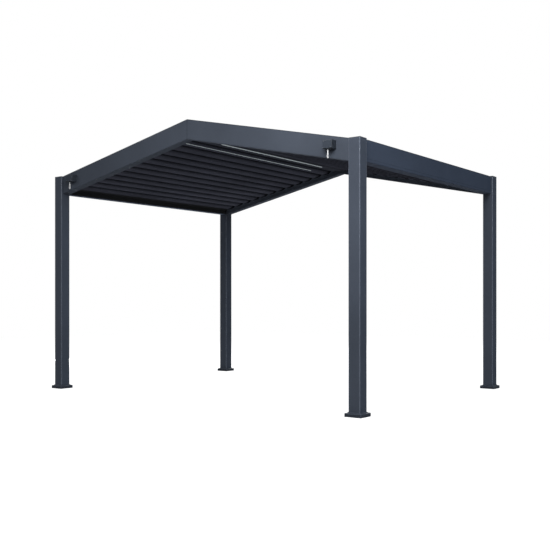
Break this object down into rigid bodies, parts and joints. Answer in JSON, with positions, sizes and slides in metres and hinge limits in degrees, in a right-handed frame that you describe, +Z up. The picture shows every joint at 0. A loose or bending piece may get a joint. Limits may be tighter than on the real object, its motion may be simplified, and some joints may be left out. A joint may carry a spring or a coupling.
{
  "type": "louvered pergola",
  "caption": "Free-standing gable pergola on square posts with feet; each roof slope is a row of crank-turned louvers running along the ridge.",
  "frame": {"origin": "on the floor, midway between the four posts", "axes": "+X to the right across the front gable, +Y back along the ridge, +Z up"},
  "size_m": [4.053, 3.0535, 2.7839],
  "materials": {
    "post": "powder coat, satin",
    "cap": "powder coat, satin",
    "foot": "powder coat, satin",
    "gable_beam": "powder coat, satin",
    "eave_beam": "powder coat, satin",
    "ridge": "powder coat, satin",
    "louver": "powder coat, satin",
    "link": "brushed",
    "gearbox": "satin",
    "eye": "bright white"
  },
  "bodies": {
    "frame": {"gable_front_left": "gable_beam", "gable_front_right": "gable_beam", "gable_back_left": "gable_beam", "gable_back_right": "gable_beam", "eave_left": "eave_beam", "eave_right": "eave_beam", "ridge_beam": "ridge", "post_caps": "cap", "gearbox_left": "gearbox", "gearbox_right": "gearbox", "post_front_left": "post", "foot_front_left": "foot", "post_front_right": "post", "foot_front_right": "foot", "post_back_left": "post", "foot_back_left": "foot", "post_back_right": "post", "foot_back_right": "foot"},
    "louver_left_01": {"louver_left_01": "louver"},
    "louver_left_02": {"louver_left_02": "louver"},
    "louver_left_03": {"louver_left_03": "louver"},
    "louver_left_04": {"louver_left_04": "louver"},
    "louver_left_05": {"louver_left_05": "louver"},
    "louver_left_06": {"louver_left_06": "louver"},
    "louver_left_07": {"louver_left_07": "louver"},
    "louver_left_08": {"louver_left_08": "louver"},
    "louver_left_09": {"louver_left_09": "louver"},
    "louver_left_10": {"louver_left_10": "louver"},
    "louver_left_11": {"louver_left_11": "louver"},
    "louver_left_12": {"louver_left_12": "louver"},
    "link_left": {"link_left": "link"},
    "crank_eye_left": {"crank_eye_left": "eye"},
    "louver_right_01": {"louver_right_01": "louver"},
    "louver_right_02": {"louver_right_02": "louver"},
    "louver_right_03": {"louver_right_03": "louver"},
    "louver_right_04": {"louver_right_04": "louver"},
    "louver_right_05": {"louver_right_05": "louver"},
    "louver_right_06": {"louver_right_06": "louver"},
    "louver_right_07": {"louver_right_07": "louver"},
    "louver_right_08": {"louver_right_08": "louver"},
    "louver_right_09": {"louver_right_09": "louver"},
    "louver_right_10": {"louver_right_10": "louver"},
    "louver_right_11": {"louver_right_11": "louver"},
    "louver_right_12": {"louver_right_12": "louver"},
    "link_right": {"link_right": "link"},
    "crank_eye_right": {"crank_eye_right": "eye"}
  },
  "joints": [
    {"name": "left_louver_01_turn", "type": "hinge", "parent": "frame", "child": "louver_left_01", "pos_m": [-0.19944, 0, 2.61368], "axis": [0, 1, 0], "range_deg": [0, 90]},
    {"name": "left_louver_02_turn", "type": "hinge", "parent": "frame", "child": "louver_left_02", "pos_m": [-0.34254, 0, 2.58327], "axis": [0, 1, 0], "range_deg": [0, 90]},
    {"name": "left_louver_03_turn", "type": "hinge", "parent": "frame", "child": "louver_left_03", "pos_m": [-0.48563, 0, 2.55285], "axis": [0, 1, 0], "range_deg": [0, 90]},
    {"name": "left_louver_04_turn", "type": "hinge", "parent": "frame", "child": "louver_left_04", "pos_m": [-0.62873, 0, 2.52244], "axis": [0, 1, 0], "range_deg": [0, 90]},
    {"name": "left_louver_05_turn", "type": "hinge", "parent": "frame", "child": "louver_left_05", "pos_m": [-0.77182, 0, 2.49202], "axis": [0, 1, 0], "range_deg": [0, 90]},
    {"name": "left_louver_06_turn", "type": "hinge", "parent": "frame", "child": "louver_left_06", "pos_m": [-0.91492, 0, 2.4616], "axis": [0, 1, 0], "range_deg": [0, 90]},
    {"name": "left_louver_07_turn", "type": "hinge", "parent": "frame", "child": "louver_left_07", "pos_m": [-1.05801, 0, 2.43119], "axis": [0, 1, 0], "range_deg": [0, 90]},
    {"name": "left_louver_08_turn", "type": "hinge", "parent": "frame", "child": "louver_left_08", "pos_m": [-1.20111, 0, 2.40077], "axis": [0, 1, 0], "range_deg": [0, 90]},
    {"name": "left_louver_09_turn", "type": "hinge", "parent": "frame", "child": "louver_left_09", "pos_m": [-1.34421, 0, 2.37036], "axis": [0, 1, 0], "range_deg": [0, 90]},
    {"name": "left_louver_10_turn", "type": "hinge", "parent": "frame", "child": "louver_left_10", "pos_m": [-1.4873, 0, 2.33994], "axis": [0, 1, 0], "range_deg": [0, 90]},
    {"name": "left_louver_11_turn", "type": "hinge", "parent": "frame", "child": "louver_left_11", "pos_m": [-1.6304, 0, 2.30952], "axis": [0, 1, 0], "range_deg": [0, 90]},
    {"name": "left_louver_12_turn", "type": "hinge", "parent": "frame", "child": "louver_left_12", "pos_m": [-1.77349, 0, 2.27911], "axis": [0, 1, 0], "range_deg": [0, 90]},
    {"name": "left_link_turn", "type": "hinge", "parent": "louver_left_12", "child": "link_left", "pos_m": [-1.80704, -1.368, 2.3009], "axis": [0, 1, 0], "range_deg": [-90, 0]},
    {"name": "left_crank_turn", "type": "hinge", "parent": "frame", "child": "crank_eye_left", "pos_m": [-1.7, -1.525, 2.27], "axis": [0, 0, 1], "range_deg": [0, 1080]},
    {"name": "right_louver_01_turn", "type": "hinge", "parent": "frame", "child": "louver_right_01", "pos_m": [0.19944, 0, 2.61368], "axis": [0, -1, 0], "range_deg": [0, 90]},
    {"name": "right_louver_02_turn", "type": "hinge", "parent": "frame", "child": "louver_right_02", "pos_m": [0.34254, 0, 2.58327], "axis": [0, -1, 0], "range_deg": [0, 90]},
    {"name": "right_louver_03_turn", "type": "hinge", "parent": "frame", "child": "louver_right_03", "pos_m": [0.48563, 0, 2.55285], "axis": [0, -1, 0], "range_deg": [0, 90]},
    {"name": "right_louver_04_turn", "type": "hinge", "parent": "frame", "child": "louver_right_04", "pos_m": [0.62873, 0, 2.52244], "axis": [0, -1, 0], "range_deg": [0, 90]},
    {"name": "right_louver_05_turn", "type": "hinge", "parent": "frame", "child": "louver_right_05", "pos_m": [0.77182, 0, 2.49202], "axis": [0, -1, 0], "range_deg": [0, 90]},
    {"name": "right_louver_06_turn", "type": "hinge", "parent": "frame", "child": "louver_right_06", "pos_m": [0.91492, 0, 2.4616], "axis": [0, -1, 0], "range_deg": [0, 90]},
    {"name": "right_louver_07_turn", "type": "hinge", "parent": "frame", "child": "louver_right_07", "pos_m": [1.05801, 0, 2.43119], "axis": [0, -1, 0], "range_deg": [0, 90]},
    {"name": "right_louver_08_turn", "type": "hinge", "parent": "frame", "child": "louver_right_08", "pos_m": [1.20111, 0, 2.40077], "axis": [0, -1, 0], "range_deg": [0, 90]},
    {"name": "right_louver_09_turn", "type": "hinge", "parent": "frame", "child": "louver_right_09", "pos_m": [1.34421, 0, 2.37036], "axis": [0, -1, 0], "range_deg": [0, 90]},
    {"name": "right_louver_10_turn", "type": "hinge", "parent": "frame", "child": "louver_right_10", "pos_m": [1.4873, 0, 2.33994], "axis": [0, -1, 0], "range_deg": [0, 90]},
    {"name": "right_louver_11_turn", "type": "hinge", "parent": "frame", "child": "louver_right_11", "pos_m": [1.6304, 0, 2.30952], "axis": [0, -1, 0], "range_deg": [0, 90]},
    {"name": "right_louver_12_turn", "type": "hinge", "parent": "frame", "child": "louver_right_12", "pos_m": [1.77349, 0, 2.27911], "axis": [0, -1, 0], "range_deg": [0, 90]},
    {"name": "right_link_turn", "type": "hinge", "parent": "louver_right_12", "child": "link_right", "pos_m": [1.80704, -1.368, 2.3009], "axis": [0, -1, 0], "range_deg": [-90, 0]},
    {"name": "right_crank_turn", "type": "hinge", "parent": "frame", "child": "crank_eye_right", "pos_m": [1.7, -1.525, 2.27], "axis": [0, 0, 1], "range_deg": [0, 1080]}
  ],
  "couplings": [
    {"joint": "left_louver_01_turn", "follows": "left_louver_12_turn", "ratio": 1},
    {"joint": "left_louver_02_turn", "follows": "left_louver_12_turn", "ratio": 1},
    {"joint": "left_louver_03_turn", "follows": "left_louver_12_turn", "ratio": 1},
    {"joint": "left_louver_04_turn", "follows": "left_louver_12_turn", "ratio": 1},
    {"joint": "left_louver_05_turn", "follows": "left_louver_12_turn", "ratio": 1},
    {"joint": "left_louver_06_turn", "follows": "left_louver_12_turn", "ratio": 1},
    {"joint": "left_louver_07_turn", "follows": "left_louver_12_turn", "ratio": 1},
    {"joint": "left_louver_08_turn", "follows": "left_louver_12_turn", "ratio": 1},
    {"joint": "left_louver_09_turn", "follows": "left_louver_12_turn", "ratio": 1},
    {"joint": "left_louver_10_turn", "follows": "left_louver_12_turn", "ratio": 1},
    {"joint": "left_louver_11_turn", "follows": "left_louver_12_turn", "ratio": 1},
    {"joint": "left_link_turn", "follows": "left_louver_12_turn", "ratio": -1},
    {"joint": "left_crank_turn", "follows": "left_louver_12_turn", "ratio": 12},
    {"joint": "right_louver_01_turn", "follows": "right_louver_12_turn", "ratio": 1},
    {"joint": "right_louver_02_turn", "follows": "right_louver_12_turn", "ratio": 1},
    {"joint": "right_louver_03_turn", "follows": "right_louver_12_turn", "ratio": 1},
    {"joint": "right_louver_04_turn", "follows": "right_louver_12_turn", "ratio": 1},
    {"joint": "right_louver_05_turn", "follows": "right_louver_12_turn", "ratio": 1},
    {"joint": "right_louver_06_turn", "follows": "right_louver_12_turn", "ratio": 1},
    {"joint": "right_louver_07_turn", "follows": "right_louver_12_turn", "ratio": 1},
    {"joint": "right_louver_08_turn", "follows": "right_louver_12_turn", "ratio": 1},
    {"joint": "right_louver_09_turn", "follows": "right_louver_12_turn", "ratio": 1},
    {"joint": "right_louver_10_turn", "follows": "right_louver_12_turn", "ratio": 1},
    {"joint": "right_louver_11_turn", "follows": "right_louver_12_turn", "ratio": 1},
    {"joint": "right_link_turn", "follows": "right_louver_12_turn", "ratio": -1},
    {"joint": "right_crank_turn", "follows": "right_louver_12_turn", "ratio": 12}
  ]
}
